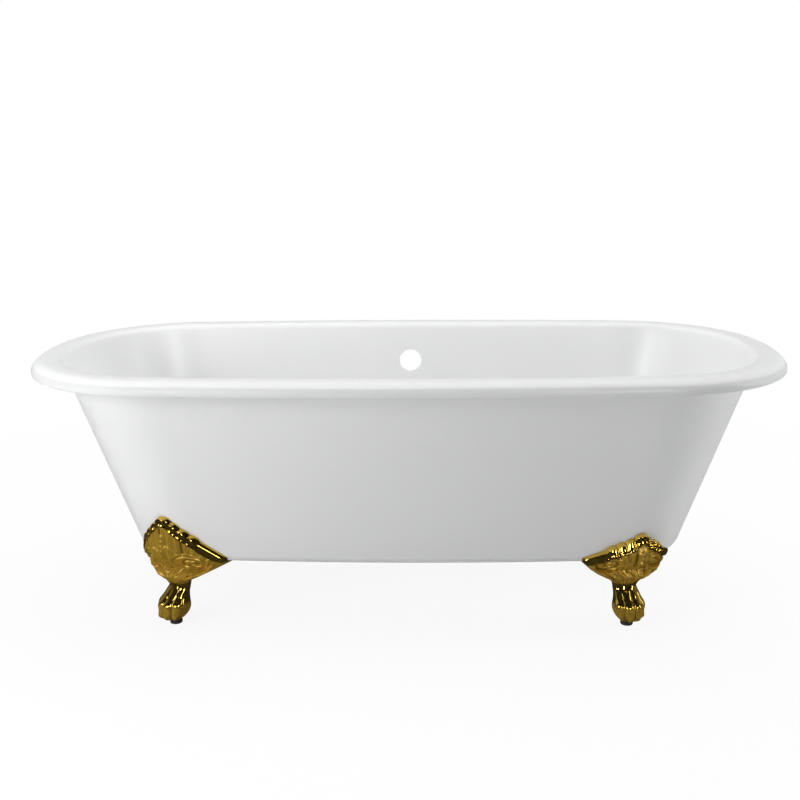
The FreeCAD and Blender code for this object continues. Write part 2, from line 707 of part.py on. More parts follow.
def foot_bolt(foot):
    """Square head in the keeper's slot, shank down through the foot's lug."""
    name = foot.name
    bolt_foot = NUT_FOOT - d.bolt_end
    head = solid("Box", f"bolt_head_{name}", Length=d.bolt_head_width, Width=d.bolt_head_width,
                 Height=d.bolt_head_height)
    foot.put(head, -d.bolt_setback - d.bolt_head_width / 2, -d.bolt_head_width / 2, HEAD_SEAT)
    shank = solid("Cylinder", f"bolt_shank_{name}", Radius=d.bolt_diameter / 2, Height=HEAD_SEAT - bolt_foot)
    foot.put(shank, -d.bolt_setback, 0, bolt_foot)
    return fused(f"foot_bolt_{name}", [head, shank])


def bored(foot, name, outside, bore, forward, height):
    """A nut or washer: its outside with a hole through it, placed in the foot's frame."""
    hole = solid("Cylinder", f"{name}_hole_{foot.name}", Radius=bore / 2, Height=outside.Height.Value)
    hole.setExpression("Height", f"{outside.Name}.Height")
    foot.put(outside, forward, 0, height)
    foot.put(hole, forward, 0, height)
    return cut(f"{name}_{foot.name}", outside, hole)


def foot_washer(foot):
    disc = solid("Cylinder", f"washer_disc_{foot.name}", Radius=d.washer_diameter / 2,
                 Height=d.washer_thickness)
    bore = d.bolt_diameter + d.slip_gap * 2
    return bored(foot, "foot_washer", disc, bore, -d.bolt_setback, WASHER_FOOT)


def foot_nut(foot):
    prism = hexagon(f"bolt_nut_prism_{foot.name}", d.bolt_nut_width, d.bolt_nut_height)
    bore = d.bolt_diameter + d.slip_gap * 2
    return bored(foot, "foot_nut", prism, bore, -d.bolt_setback, NUT_FOOT)


def leveller_nut(foot):
    """Captive nut pressed into the underside of the ball."""
    prism = hexagon(f"screw_nut_prism_{foot.name}", d.screw_nut_width, d.screw_nut_height)
    bore = d.screw_diameter + d.screw_gap * 2
    return bored(foot, "leveller_nut", prism, bore, 0, SCREW_NUT_FOOT)


def leveller_screw(foot):
    """Round foot in the glide, hexagon for a spanner, and the threaded shank up into the paw."""
    name = foot.name
    hex_foot = d.glide_height
    end = solid("Cylinder", f"screw_end_{name}", Radius=d.screw_foot_diameter / 2,
                Height=hex_foot - d.glide_floor)
    hex_top = SCREW_NUT_FOOT - d.screw_stop_gap
    prism = hexagon(f"screw_hex_{name}", d.screw_hex_width, hex_top - hex_foot)
    shank = solid("Cylinder", f"screw_shank_{name}", Radius=d.screw_diameter / 2, Height=d.screw_length)
    foot.put(end, 0, 0, d.glide_floor)
    foot.put(prism, 0, 0, hex_foot)
    foot.put(shank, 0, 0, d.glide_floor)
    return fused(f"leveller_screw_{name}", [end, prism, shank])


def leveller_glide(foot):
    """Rubber cup on the floor, narrowed at its lower edge, with a socket for the screw's end."""
    name = foot.name
    radius = d.glide_diameter / 2
    rim = solid("Cylinder", f"glide_rim_{name}", Radius=radius, Height=d.glide_height - d.glide_rounding)
    sole = solid("Cone", f"glide_sole_{name}", Radius1=radius - d.glide_rounding, Radius2=radius,
                 Height=d.glide_rounding)
    socket = solid("Cylinder", f"glide_socket_{name}", Radius=d.screw_foot_diameter / 2 + d.glide_gap,
                   Height=d.glide_height)
    foot.put(rim, 0, 0, d.glide_rounding)
    foot.put(sole)
    foot.put(socket, 0, 0, d.glide_floor)
    return cut(f"leveller_glide_{name}", fused(f"glide_body_{name}", [rim, sole]), socket)


# ---------------------------------------------------------------- build, test and write

tub_outside = envelope("tub_outside", d.seat_gap)
saddle_front = envelope("saddle_front", d.seat_gap + d.shield_thickness)
below_tub = underside_space()
nodes = [tub_shell()]
for foot in FEET:
    nodes.append(foot_casting(foot, tub_outside, saddle_front, below_tub))
    for piece in (foot_bolt, foot_washer, foot_nut, leveller_nut, leveller_screw, leveller_glide):
        nodes.append(piece(foot))
doc.recompute()

for item in doc.Objects:
    if "Invalid" in item.State or "Error" in item.State:
        raise RuntimeError(f"{item.Label}: {item.State}")
for node in nodes:
    node.Label = node.Name
    if node.Shape.isNull() or not node.Shape.isValid():
        raise RuntimeError(f"{node.Label}: no valid shape")
    print(f"{node.Label}: {len(node.Shape.Solids)} solid, {node.Shape.Volume / 1000:.1f} cm3")
for node in nodes:
    node.Shape.exportStep(f"parts/{node.Label}.step")
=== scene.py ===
"""Looks of a double-ended clawfoot bathtub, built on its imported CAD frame.

Metres, Z up, the floor at z = 0, X along the tub. Shapes are worked out in millimetres and
written to the meshes in metres.
"""

import math

import bmesh
import bpy
import numpy as np
from mathutils import Matrix, Vector


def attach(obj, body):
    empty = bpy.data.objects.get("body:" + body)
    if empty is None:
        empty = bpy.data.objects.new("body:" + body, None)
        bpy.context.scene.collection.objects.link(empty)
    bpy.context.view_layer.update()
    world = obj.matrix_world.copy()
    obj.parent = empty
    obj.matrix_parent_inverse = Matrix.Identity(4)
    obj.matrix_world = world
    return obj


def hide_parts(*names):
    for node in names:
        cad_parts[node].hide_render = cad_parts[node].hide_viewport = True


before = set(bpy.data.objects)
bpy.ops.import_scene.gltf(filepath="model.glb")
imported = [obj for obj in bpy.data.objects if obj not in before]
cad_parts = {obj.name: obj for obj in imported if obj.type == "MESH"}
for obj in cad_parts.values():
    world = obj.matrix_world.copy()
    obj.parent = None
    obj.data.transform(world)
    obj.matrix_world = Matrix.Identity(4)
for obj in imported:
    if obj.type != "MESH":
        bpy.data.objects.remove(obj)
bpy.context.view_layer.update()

# ---------------------------------------------------------------- camera
# A long lens two and a half metres from the middle of the rim, a little to the right of straight
# ahead and 11 degrees above the horizon. The middle of the rim lies above the middle of the frame.

rim_middle, rim_distance = Vector((0.0, 0.0, 0.5995)), 2.489
azimuth, elevation, roll = math.radians(1.45), math.radians(11.38), math.radians(0.45)
picture_side, focal_length, shift_across, shift_down = 800, 1071.9, 7.32, 53.58  # in pixels
film_width = 36.0
back = Vector((math.sin(azimuth) * math.cos(elevation), -math.cos(azimuth) * math.cos(elevation),
               math.sin(elevation)))
right = (-back).cross(Vector((0, 0, 1))).normalized()
upward = right.cross(-back)
tilted_right = right * math.cos(roll) - upward * math.sin(roll)
tilted_up = right * math.sin(roll) + upward * math.cos(roll)
camera = bpy.data.objects.new("camera", bpy.data.cameras.new("camera"))
bpy.context.scene.collection.objects.link(camera)
camera.matrix_world = Matrix.Translation(rim_middle + back * rim_distance) @ Matrix(
    (tilted_right, tilted_up, back)).transposed().to_4x4()
camera.data.sensor_width = film_width
camera.data.lens = focal_length / picture_side * film_width
camera.data.shift_x = -shift_across / picture_side
camera.data.shift_y = -shift_down / picture_side
bpy.context.scene.camera = camera
bpy.context.scene.view_settings.view_transform = "Standard"

# ---------------------------------------------------------------- studio
# A pale floor that runs out of sight and three soft lights: overhead, in front on the left and past
# the right end. Mirrors see four narrow lights instead, in a room that is dark in front of the tub
# and paler behind it.


def put(mesh_or_data, name):
    """Links a new object at the origin."""
    item = bpy.data.objects.new(name, mesh_or_data)
    bpy.context.scene.collection.objects.link(item)
    return item


def add_node(tree, kind, **values):
    """A node with its properties and, after in_, its input values given by name or number."""
    node = tree.nodes.new(kind)
    for key, value in values.items():
        if key.startswith("in_"):
            label = key[3:].replace("_", " ")
            node.inputs[int(label) if label.isdigit() else label].default_value = value
        else:
            setattr(node, key, value)
    return node


def wire(tree, *pairs):
    """Links each pair of an output and an input."""
    for source, target in pairs:
        tree.links.new(source, target)


floor_mesh = bpy.data.meshes.new("floor")
floor_mesh.from_pydata([(-30, -30, 0), (30, -30, 0), (30, 30, 0), (-30, 30, 0)], [], [(0, 1, 2, 3)])
floor = put(floor_mesh, "floor")

# the camera sees the floor go to white with distance, and mirrors see it unlit
floor_paint = bpy.data.materials.new("floor_paint")
floor_paint.use_nodes = True
tree = floor_paint.node_tree
paint = tree.nodes["Principled BSDF"]
paint.inputs["Base Color"].default_value = (0.93, 0.93, 0.93, 1)
paint.inputs["Roughness"].default_value = 0.85
paint.inputs["Specular IOR Level"].default_value = 0.2
place = add_node(tree, "ShaderNodeTexCoord")
distance = add_node(tree, "ShaderNodeVectorMath", operation="LENGTH")
far_away = add_node(tree, "ShaderNodeMapRange", in_From_Min=1.0, in_From_Max=2.2, in_To_Min=0.9,
                    in_To_Max=1.0)
seen = add_node(tree, "ShaderNodeLightPath")
share = add_node(tree, "ShaderNodeMath", operation="MULTIPLY")
glow = add_node(tree, "ShaderNodeEmission", in_Strength=1.0)
unlit = add_node(tree, "ShaderNodeEmission", in_Strength=0.03)
lit_or_glow, lit_or_unlit = (add_node(tree, "ShaderNodeMixShader") for _ in range(2))
wire(tree, (place.outputs["Object"], distance.inputs[0]),
     (distance.outputs["Value"], far_away.inputs["Value"]),
     (seen.outputs["Is Camera Ray"], share.inputs[0]), (far_away.outputs[0], share.inputs[1]),
     (share.outputs[0], lit_or_glow.inputs[0]), (paint.outputs[0], lit_or_glow.inputs[1]),
     (glow.outputs[0], lit_or_glow.inputs[2]), (seen.outputs["Is Glossy Ray"], lit_or_unlit.inputs[0]),
     (lit_or_glow.outputs[0], lit_or_unlit.inputs[1]), (unlit.outputs[0], lit_or_unlit.inputs[2]),
     (lit_or_unlit.outputs[0], tree.nodes["Material Output"].inputs["Surface"]))
floor_mesh.materials.append(floor_paint)


def soft_light(name, place, aim, width, height, power, mirrored):
    """A rectangular soft light facing an aim point; it is only mirrored, or else only lights."""
    data = bpy.data.lights.new(name, "AREA")
    data.shape, data.size, data.size_y, data.energy = "RECTANGLE", width, height, power
    lamp = put(data, name)
    lamp.location = place
    lamp.rotation_euler = (Vector(aim) - Vector(place)).to_track_quat("-Z", "Y").to_euler()
    lamp.visible_glossy, lamp.visible_diffuse = mirrored, not mirrored


soft_light("overhead", (0.0, 0.3, 3.0), (0, 0, 0.3), 4.5, 3.0, 81, mirrored=False)
soft_light("left_front", (-2.4, -1.9, 1.1), (-0.5, 0, 0.35), 1.4, 1.4, 52, mirrored=False)
soft_light("right_end", (3.3, 0.2, 0.8), (0.8, 0, 0.35), 1.0, 1.0, 46, mirrored=False)
soft_light("left", (-3.2, -2.6, 1.7), (-0.3, 0, 0.35), 0.4, 1.6, 14, mirrored=True)
soft_light("right", (3.4, -0.7, 1.4), (0.6, 0, 0.3), 0.4, 2.0, 12, mirrored=True)
soft_light("left_strip", (-1.5, -2.9, 1.7), (-0.5, -0.2, 0.2), 0.25, 1.3, 27, mirrored=True)
soft_light("right_strip", (1.3, -3.0, 1.5), (0.5, -0.2, 0.2), 0.25, 1.3, 27, mirrored=True)

# the camera sees a white wall, mirrors a dark room, and the rest of the light is an even fill
room = bpy.data.worlds.new("room")
bpy.context.scene.world = room
room.use_nodes = True
tree = room.node_tree
white_wall = tree.nodes["Background"]
white_wall.inputs["Color"].default_value = (1, 1, 1, 1)
white_wall.inputs["Strength"].default_value = 1.0
fill = add_node(tree, "ShaderNodeBackground", in_Color=(0.97, 0.985, 1, 1), in_Strength=0.19)
dark_room = add_node(tree, "ShaderNodeBackground")
direction = add_node(tree, "ShaderNodeTexCoord")
split = add_node(tree, "ShaderNodeSeparateXYZ")
shade = add_node(tree, "ShaderNodeMapRange", in_From_Min=-0.1, in_From_Max=0.9, in_To_Min=0.012,
                 in_To_Max=0.45)
path = add_node(tree, "ShaderNodeLightPath")
glossy_or_fill, camera_or_rest = (add_node(tree, "ShaderNodeMixShader") for _ in range(2))
wire(tree, (direction.outputs["Generated"], split.inputs[0]), (split.outputs["Y"], shade.inputs["Value"]),
     (shade.outputs[0], dark_room.inputs["Strength"]),
     (path.outputs["Is Glossy Ray"], glossy_or_fill.inputs[0]),
     (fill.outputs[0], glossy_or_fill.inputs[1]), (dark_room.outputs[0], glossy_or_fill.inputs[2]),
     (path.outputs["Is Camera Ray"], camera_or_rest.inputs[0]),
     (glossy_or_fill.outputs[0], camera_or_rest.inputs[1]),
     (white_wall.outputs[0], camera_or_rest.inputs[2]),
     (camera_or_rest.outputs[0], tree.nodes["World Output"].inputs["Surface"]))

# ---------------------------------------------------------------- tub casting
# One iron casting, 1.70 m long, with white enamel: a body with straight leaning walls, a rolled
# rim, a basin 7 mm inside the walls, an overflow hole in the back wall and a drain hole in the
# floor. Four keepers cast underneath take the heads of the foot bolts.

RIM_TOP, RIM_UNDERSIDE, CURL_EDGE = 600.0, 593.0, 570.0
BASE, FLOOR, WALL = 146.0, 155.0, 7.0
BASE_RADIUS, BASIN_RADIUS, LIP_RADIUS, NECK_RADIUS = 30.0, 48.0, 20, 9
CURL_RADIUS, CURL_HEIGHT, CURL_INSET = 19, 574, 26  # hollow side of the rim's rolled edge
ROLL_START, ROLL_RISE, ROLL_DEPTH = 576, 23.6, 31  # its outer side, a quarter of an ellipse
RIM_OVAL = 850.0, 382.5, 42.0  # half length, half width and shoulder offset
BASE_OVAL, OVAL_GROWTH = (629, 209, 21), (157, 109.5, 21)  # the same, and what they gain by the rim
SPINE_END, LIP_DROP = 430, 0.8
OVERFLOW_HEIGHT, OVERFLOW_BACK, DRAIN_BACK = 504, 296.70, 60
END_ARC, SIDE_ARC = math.radians(8), math.radians(4)


def oval(direction_angle, half_length, half_width, offset):
    """Point of an oval of eight tangent arcs where its outward normal has a given direction.

    Each point is its arc's centre plus the arc's radius along the normal. The shoulders' centres
    are offset from the long axis, the end arcs' lie on it and the side arcs' on the short axis.
    """
    end_slope, side_slope = math.tan(END_ARC / 2), math.tan(SIDE_ARC / 2)
    centre = (half_length - half_width + offset * (1 - end_slope)) / (1 - side_slope)
    shoulder = half_length - centre - offset * end_slope
    end = shoulder + offset / math.sin(END_ARC)
    side = shoulder + centre / math.sin(SIDE_ARC)
    across, along = np.abs(np.sin(direction_angle)), np.abs(np.cos(direction_angle))
    folded = np.arctan2(across, along)
    x = np.where(folded < END_ARC, half_length - end + end * along,
                 np.where(folded <= math.pi / 2 - SIDE_ARC, centre + shoulder * along, side * along))
    y = np.where(folded < END_ARC, end * across,
                 np.where(folded <= math.pi / 2 - SIDE_ARC, offset + shoulder * across,
                          half_width - side + side * across))
    return np.stack([x * np.sign(np.cos(direction_angle)), y * np.sign(np.sin(direction_angle))], -1)


def level_sizes(height):
    """Half length, half width and shoulder offset of the body's oval, which go evenly with height."""
    share = (height - BASE) / (RIM_UNDERSIDE - BASE)
    return tuple(size + growth * share for size, growth in zip(BASE_OVAL, OVAL_GROWTH))


def evenly_round(count):
    """Normal directions that step evenly along the middle oval, starting just off the long axis."""
    fine = np.linspace(0, 2 * math.pi, 20001)
    points = oval(fine, *level_sizes(380.0))
    run = np.concatenate([[0], np.cumsum(np.hypot(*np.diff(points, axis=0).T))])
    return np.interp((np.arange(count) + 0.5) / count * run[-1], run, fine)


AROUND = 416
headings = evenly_round(AROUND)
normals = np.stack([np.cos(headings), np.sin(headings)], -1)


def body_ring(height, inset):
    """Ring of points on the body's wall, drawn in along the normal; height and inset may vary."""
    height = np.broadcast_to(np.asarray(height, float), headings.shape)
    flat = oval(headings, *level_sizes(height)) - normals * np.reshape(inset, (-1, 1))
    return np.column_stack([flat, height])


def rim_ring(height, inset):
    """Ring of points drawn in from the rim's outer edge."""
    flat = oval(headings, *RIM_OVAL) - normals * inset
    return np.column_stack([flat, np.full(AROUND, float(height))])


steepness = np.einsum("ij,ij->i", body_ring(RIM_UNDERSIDE, 0)[:, :2] - body_ring(BASE, 0)[:, :2],
                      normals) / (RIM_UNDERSIDE - BASE)
lean = np.arctan(steepness)


def corner_rings(bottom, inset, radius, share):
    """Rounded corner between a level bottom and the leaning wall, from the bottom up.

    The arc's angle goes from straight down to the wall's own normal; at each height the ring is
    drawn in from the wall by what the arc lacks.
    """
    tangent = radius / np.tan((math.pi / 2 + lean) / 2)
    angle = -math.pi / 2 + (math.pi / 2 - lean) * share
    height = bottom + radius + radius * np.sin(angle)
    drawn_in = steepness * (height - bottom) + tangent - radius * np.cos(angle)
    return body_ring(height, inset + drawn_in)


def floor_rings(edge, shares):
    """Rings of a level floor that close from its edge onto a line along the tub's axis."""
    spine = np.column_stack([np.clip(edge[:, 0], -SPINE_END, SPINE_END), np.zeros(AROUND), edge[:, 2]])
    return [spine + (edge - spine) * share for share in shares]


def lip_ring(share):
    """Rounding from the rim's top over into the basin, up to the slope of the basin's wall."""
    mouth = body_ring(RIM_TOP, WALL)
    angle = (math.pi / 2 - lean) * share
    outwards = LIP_RADIUS * (np.tan((math.pi / 2 - lean) / 2) - np.sin(angle))
    height = RIM_TOP - LIP_DROP - LIP_RADIUS * (1 - np.cos(angle))
    return np.column_stack([mouth[:, :2] + normals * outwards[:, None], height])


outer_foot = corner_rings(BASE, 0, BASE_RADIUS, 0)
inner_foot = corner_rings(FLOOR, WALL, BASIN_RADIUS, 0)
outer_wall_start = BASE + BASE_RADIUS * (1 - np.sin(lean))
inner_wall_start = FLOOR + BASIN_RADIUS * (1 - np.sin(lean))
lip_end = lip_ring(1)
rings = floor_rings(outer_foot, np.linspace(0, 1, 16)[:-1] ** 0.8)
rings += [corner_rings(BASE, 0, BASE_RADIUS, t) for t in np.linspace(0, 1, 13)[:-1]]
rings += [body_ring(outer_wall_start + (RIM_UNDERSIDE - NECK_RADIUS - outer_wall_start) * t, 0)
          for t in np.linspace(0, 1, 25)]
rings += [body_ring(RIM_UNDERSIDE - NECK_RADIUS * (1 - math.sin(t)), -NECK_RADIUS * (1 - math.cos(t)))
          for t in np.linspace(0.15, 1, 6) * math.pi / 2]
rings += [rim_ring(RIM_UNDERSIDE, inset) for inset in (44, 34)]
rings += [rim_ring(CURL_HEIGHT + CURL_RADIUS * math.cos(t), CURL_INSET - CURL_RADIUS * math.sin(t))
          for t in np.linspace(0, math.pi / 2, 9)]
rings += [rim_ring(CURL_EDGE + WALL / 2 * (1 - math.sin(t)), WALL / 2 * (1 + math.cos(t)))
          for t in np.linspace(0, math.pi, 9)]
rings += [rim_ring(ROLL_START + ROLL_RISE * math.sin(t), ROLL_DEPTH * (1 - math.cos(t)))
          for t in np.linspace(0, math.pi / 2, 17)]
crown, lip_start = rim_ring(ROLL_START + ROLL_RISE, ROLL_DEPTH), lip_ring(0)
rings += [crown + (lip_start - crown) * t + [0, 0, 0.4 * math.sin(math.pi * t)] for t in (0.25, 0.5, 0.75)]
rings += [lip_ring(t) for t in np.linspace(0, 1, 13)]
rings += [body_ring(lip_end[:, 2] + (inner_wall_start - lip_end[:, 2]) * t, WALL)
          for t in np.linspace(0, 1, 27)[1:]]
rings += [corner_rings(FLOOR, WALL, BASIN_RADIUS, t) for t in np.linspace(1, 0, 17)[1:]]
rings += floor_rings(inner_foot, np.linspace(1, 0, 18)[1:] ** 0.8)
tub_points = np.stack(rings)


def grid_faces(rows, columns):
    """Quads of a grid of rows that close on themselves."""
    i, j = np.meshgrid(np.arange(rows - 1), np.arange(columns), indexing="ij")
    after = (j + 1) % columns
    return np.stack([i * columns + j, i * columns + after, (i + 1) * columns + after,
                     (i + 1) * columns + j], -1).reshape(-1, 4)


def make_mesh(name, parts, sharp=None, groove=None):
    """One mesh of several parts, welded and shaded smooth.

    A part is its points in millimetres and one or more arrays of faces. A groove is a value for
    each of the first points, which the brass reads as painted shade.
    """
    points, faces, first = [], [], 0
    for part_points, *face_arrays in parts:
        points.append(np.reshape(part_points, (-1, 3)) / 1000)
        for face_array in face_arrays:
            faces += (face_array + first).tolist()
        first += len(points[-1])
    mesh = bpy.data.meshes.new(name)
    mesh.from_pydata(np.concatenate(points).tolist(), [], faces)
    if groove is not None:
        write_values(mesh, "groove", np.concatenate([groove, np.zeros(first - len(groove))]))
    shape = bmesh.new()
    shape.from_mesh(mesh)
    bmesh.ops.remove_doubles(shape, verts=shape.verts, dist=2e-5)
    bmesh.ops.dissolve_degenerate(shape, edges=shape.edges, dist=1e-6)
    bmesh.ops.recalc_face_normals(shape, faces=shape.faces)
    shape.to_mesh(mesh)
    shape.free()
    mesh.polygons.foreach_set("use_smooth", np.ones(len(mesh.polygons), bool))
    if sharp:
        mesh.set_sharp_from_angle(angle=math.radians(sharp))
    return mesh


def write_values(mesh, name, values):
    """Writes one value for each point of a mesh, which the materials read by its name."""
    mesh.attributes.new(name, "FLOAT", "POINT").data.foreach_set("value", values.astype(np.float32))


def points_of(mesh):
    """Points of a mesh in millimetres."""
    points = np.zeros(len(mesh.vertices) * 3)
    mesh.vertices.foreach_get("co", points)
    return points.reshape(-1, 3) * 1000


def box_part(x0, x1, y0, y1, z0, z1):
    """A plain block as points and outward faces."""
    corners = (x0, y0), (x1, y0), (x1, y1), (x0, y1)
    points = np.array([(x, y, z) for z in (z0, z1) for x, y in corners], float)
    faces = [(0, 3, 2, 1), (4, 5, 6, 7), (0, 1, 5, 4), (1, 2, 6, 5), (2, 3, 7, 6), (3, 0, 4, 7)]
    return points, np.array(faces)


# each foot's place, the way its toes point, and how far up and aside its shield's crest lies
FEET = {
    "front_left": {"x": -525.0, "y": -187.0, "turn": -130.0, "crest": 116.0, "aside": 6.0},
    "front_right": {"x": 493.0, "y": -187.0, "turn": -70.0, "crest": 76.0, "aside": 16.0},
    "rear_left": {"x": -509.0, "y": 187.0, "turn": 120.0, "crest": 96.0, "aside": 4.0},
    "rear_right": {"x": 509.0, "y": 187.0, "turn": 60.0, "crest": 96.0, "aside": 4.0},
}


def at_foot(points, foot):
    """Carries points from a foot's own frame, X along its toes, to its place under the tub."""
    x, y, turn = FEET[foot]["x"], FEET[foot]["y"], math.radians(FEET[foot]["turn"])
    c, s = math.cos(turn), math.sin(turn)
    points = np.asarray(points, float)
    return np.stack([x + points[..., 0] * c - points[..., 1] * s,
                     y + points[..., 0] * s + points[..., 1] * c, points[..., 2]], -1)


def keeper_parts(foot):
    """Blocks of one keeper: a top plate, the solid end by the foot, and two cheeks with lips."""
    start, slot_end, end, half, low, high = -98, -61.4, -44, 23, 126, 141
    blocks = [box_part(start, end, -half, half, high - 0.4, high + 7)]
    blocks += [box_part(start, slot_end, *cheek, low, high) for cheek in ((-half, -8.3), (8.3, half))]
    blocks += [box_part(start, slot_end, *lip, low, low + 7) for lip in ((-9, -5.3), (5.3, 9))]
    blocks.append(box_part(slot_end - 0.3, end, -half, half, low, high))
    return [(at_foot(points, foot), faces) for points, faces in blocks]


def turned_part(profile, columns):
    """A profile of radii and heights carried round Z in even steps."""
    radius, height = np.array(profile, float).T
    turn = np.arange(columns) / columns * 2 * math.pi
    rows = np.stack([np.outer(radius, np.cos(turn)), np.outer(radius, np.sin(turn)),
                     np.outer(height, np.ones(columns))], -1)
    return rows, grid_faces(len(profile), columns)


def flared_pin(radius, top, bottom, flare):
    """Pin about Z that widens by a quarter round at both ends: its cut leaves a rounded hole edge."""
    swing = np.linspace(0, math.pi / 2, 7)
    upper = np.column_stack([radius + flare * (1 - np.cos(swing)), top - flare * (1 - np.sin(swing))])
    lower = np.column_stack([upper[:, 0], top + bottom - upper[:, 1]])[::-1]
    wide = radius + flare
    ends = [(0, bottom - 9), (wide, bottom - 9)], [(wide, top + 9), (0, top + 9)]
    return turned_part(np.concatenate([ends[0], lower, upper, ends[1]]), 72)


tub = put(make_mesh("tub", [(tub_points, grid_faces(len(rings), AROUND))]), "tub")
overflow_lean = math.atan2(OVAL_GROWTH[1], RIM_UNDERSIDE - BASE)
overflow_turn = np.array(Matrix.Rotation(-(math.pi / 2 + overflow_lean), 3, "X"))
overflow_rows, pin_faces = flared_pin(27.8, 0.25, -7.05, 1.2)
seat_rows, seat_faces = turned_part([(0, 152), (39.5, 152), (41, 152.5), (41.6, 153.5), (42.4, 154.6),
                                     (44, 155.02), (44, 167), (0, 167)], 72)
cutters = {
    "overflow": (overflow_rows @ overflow_turn.T + [0, OVERFLOW_BACK, OVERFLOW_HEIGHT], pin_faces),
    "seat": (seat_rows + [0, DRAIN_BACK, 0], seat_faces),
    "drain": (flared_pin(25.0, 152.2, 145.8, 1.0)[0] + [0, DRAIN_BACK, 0], pin_faces),
}
for name, cutter_part in cutters.items():
    cutter = put(make_mesh(f"{name}_cutter", [cutter_part]), f"{name}_cutter")
    hole = tub.modifiers.new(name, "BOOLEAN")
    hole.operation, hole.solver, hole.object = "DIFFERENCE", "EXACT", cutter
pierced = bpy.data.meshes.new_from_object(tub.evaluated_get(bpy.context.evaluated_depsgraph_get()))
tub.modifiers.clear()
for name in cutters:
    bpy.data.objects.remove(bpy.data.objects[f"{name}_cutter"])
all_keepers = [part for foot in FEET for part in keeper_parts(foot)]
keepers = put(make_mesh("keepers", all_keepers, sharp=30), "keepers")
pierced.set_sharp_from_angle(angle=math.radians(50))
tub.data = pierced
with bpy.context.temp_override(active_object=tub, selected_editable_objects=[tub, keepers]):
    bpy.ops.object.join()


def body_gap(points):
    """Signed level distance of points outside the body's plain outer wall at their own height."""
    hl, hw, off = level_sizes(np.clip(points[:, 2], BASE, RIM_UNDERSIDE))
    end_slope, side_slope = math.tan(END_ARC / 2), math.tan(SIDE_ARC / 2)
    centre = (hl - hw + off * (1 - end_slope)) / (1 - side_slope)
    shoulder = hl - centre - off * end_slope
    end, side = shoulder + off / math.sin(END_ARC), shoulder + centre / math.sin(SIDE_ARC)
    x, y = np.abs(points[:, 0]), np.abs(points[:, 1])
    by_end = np.arctan2(y, x - (hl - end)) < END_ARC
    by_side = np.arctan2(x, y - (hw - side)) < SIDE_ARC
    past_shoulder = np.hypot(x - centre, y - off) - shoulder
    past_side = np.where(by_side, np.hypot(x, y - (hw - side)) - side, past_shoulder)
    return np.where(by_end, np.hypot(x - (hl - end), y) - end, past_side)


# the outside mask: the outer wall, the rim's underside and the bottom, where the white is painted greyer as
# painted shade
tub_skin = points_of(tub.data)
outside = (np.clip((body_gap(tub_skin) + 4.5) / 2.0, 0, 1)
           * np.clip((RIM_UNDERSIDE - 2 - tub_skin[:, 2]) / 3, 0, 1))
write_values(tub.data, "outside", np.maximum(outside, np.clip((BASE + 4.5 - tub_skin[:, 2]) / 1.5, 0, 1)))


def new_group(name, inputs, outputs):
    """An empty shader node group with named sockets."""
    group = bpy.data.node_groups.new(name, "ShaderNodeTree")
    for label, kind, default in inputs:
        socket = group.interface.new_socket(label, in_out="INPUT", socket_type=kind)
        if default is not None:
            socket.default_value = default
    for label, kind in outputs:
        group.interface.new_socket(label, in_out="OUTPUT", socket_type=kind)
    return group, group.nodes.new("NodeGroupInput"), group.nodes.new("NodeGroupOutput")


# soft waves and fine pits of a cast and fired surface, as one height
waves, waves_in, waves_out = new_group(
    "cast_waves", [("Point", "NodeSocketVector", None), ("Wave Size", "NodeSocketFloat", 12.0),
                   ("Pit Size", "NodeSocketFloat", 300.0), ("Pits", "NodeSocketFloat", 0.1)],
    [("Height", "NodeSocketFloat")])
slow = add_node(waves, "ShaderNodeTexNoise", in_Detail=2.0, in_Roughness=0.4)
fine = add_node(waves, "ShaderNodeTexNoise", in_Detail=4.0, in_Roughness=0.6)
weigh = add_node(waves, "ShaderNodeMath", operation="MULTIPLY")
total = add_node(waves, "ShaderNodeMath", operation="ADD")
for noise, label in ((slow, "Wave Size"), (fine, "Pit Size")):
    wire(waves, (waves_in.outputs["Point"], noise.inputs["Vector"]),
         (waves_in.outputs[label], noise.inputs["Scale"]))
wire(waves, (fine.outputs[0], weigh.inputs[0]), (waves_in.outputs["Pits"], weigh.inputs[1]),
     (slow.outputs[0], total.inputs[0]), (weigh.outputs[0], total.inputs[1]),
     (total.outputs[0], waves_out.inputs["Height"]))


def new_material(name):
    """A material with its node tree, its shader and a node that gives the object's own points."""
    material = bpy.data.materials.new(name)
    material.use_nodes = True
    tree = material.node_tree
    return material, tree, tree.nodes["Principled BSDF"], add_node(tree, "ShaderNodeTexCoord")


def two_colours(tree, factor, first, second):
    """Output of a mix of two colours by a factor's output."""
    mix = add_node(tree, "ShaderNodeMix", data_type="RGBA", in_A=(*first, 1), in_B=(*second, 1))
    wire(tree, (factor, mix.inputs["Factor"]))
    return mix.outputs["Result"]


def blended(tree, factor, first, second):
    """Output of a mix of two outputs by a factor's output."""
    mix = add_node(tree, "ShaderNodeMix", data_type="RGBA")
    wire(tree, (factor, mix.inputs["Factor"]), (first, mix.inputs["A"]), (second, mix.inputs["B"]))
    return mix.outputs["Result"]


def span(tree, value, low, high):
    """Output that goes from low to high as a value's output goes from 0 to 1."""
    node = add_node(tree, "ShaderNodeMapRange", in_To_Min=low, in_To_Max=high)
    wire(tree, (value, node.inputs["Value"]))
    return node.outputs[0]


def cast_bump(tree, shader, point, wave_size, pit_size, pits, strength, distance):
    """Gives a shader the bump of a cast surface."""
    skin = add_node(tree, "ShaderNodeGroup", node_tree=waves, in_Wave_Size=wave_size,
                    in_Pit_Size=pit_size, in_Pits=pits)
    bump = add_node(tree, "ShaderNodeBump", in_Strength=strength, in_Distance=distance)
    wire(tree, (point.outputs["Object"], skin.inputs["Point"]),
         (skin.outputs["Height"], bump.inputs["Height"]), (bump.outputs[0], shader.inputs["Normal"]))
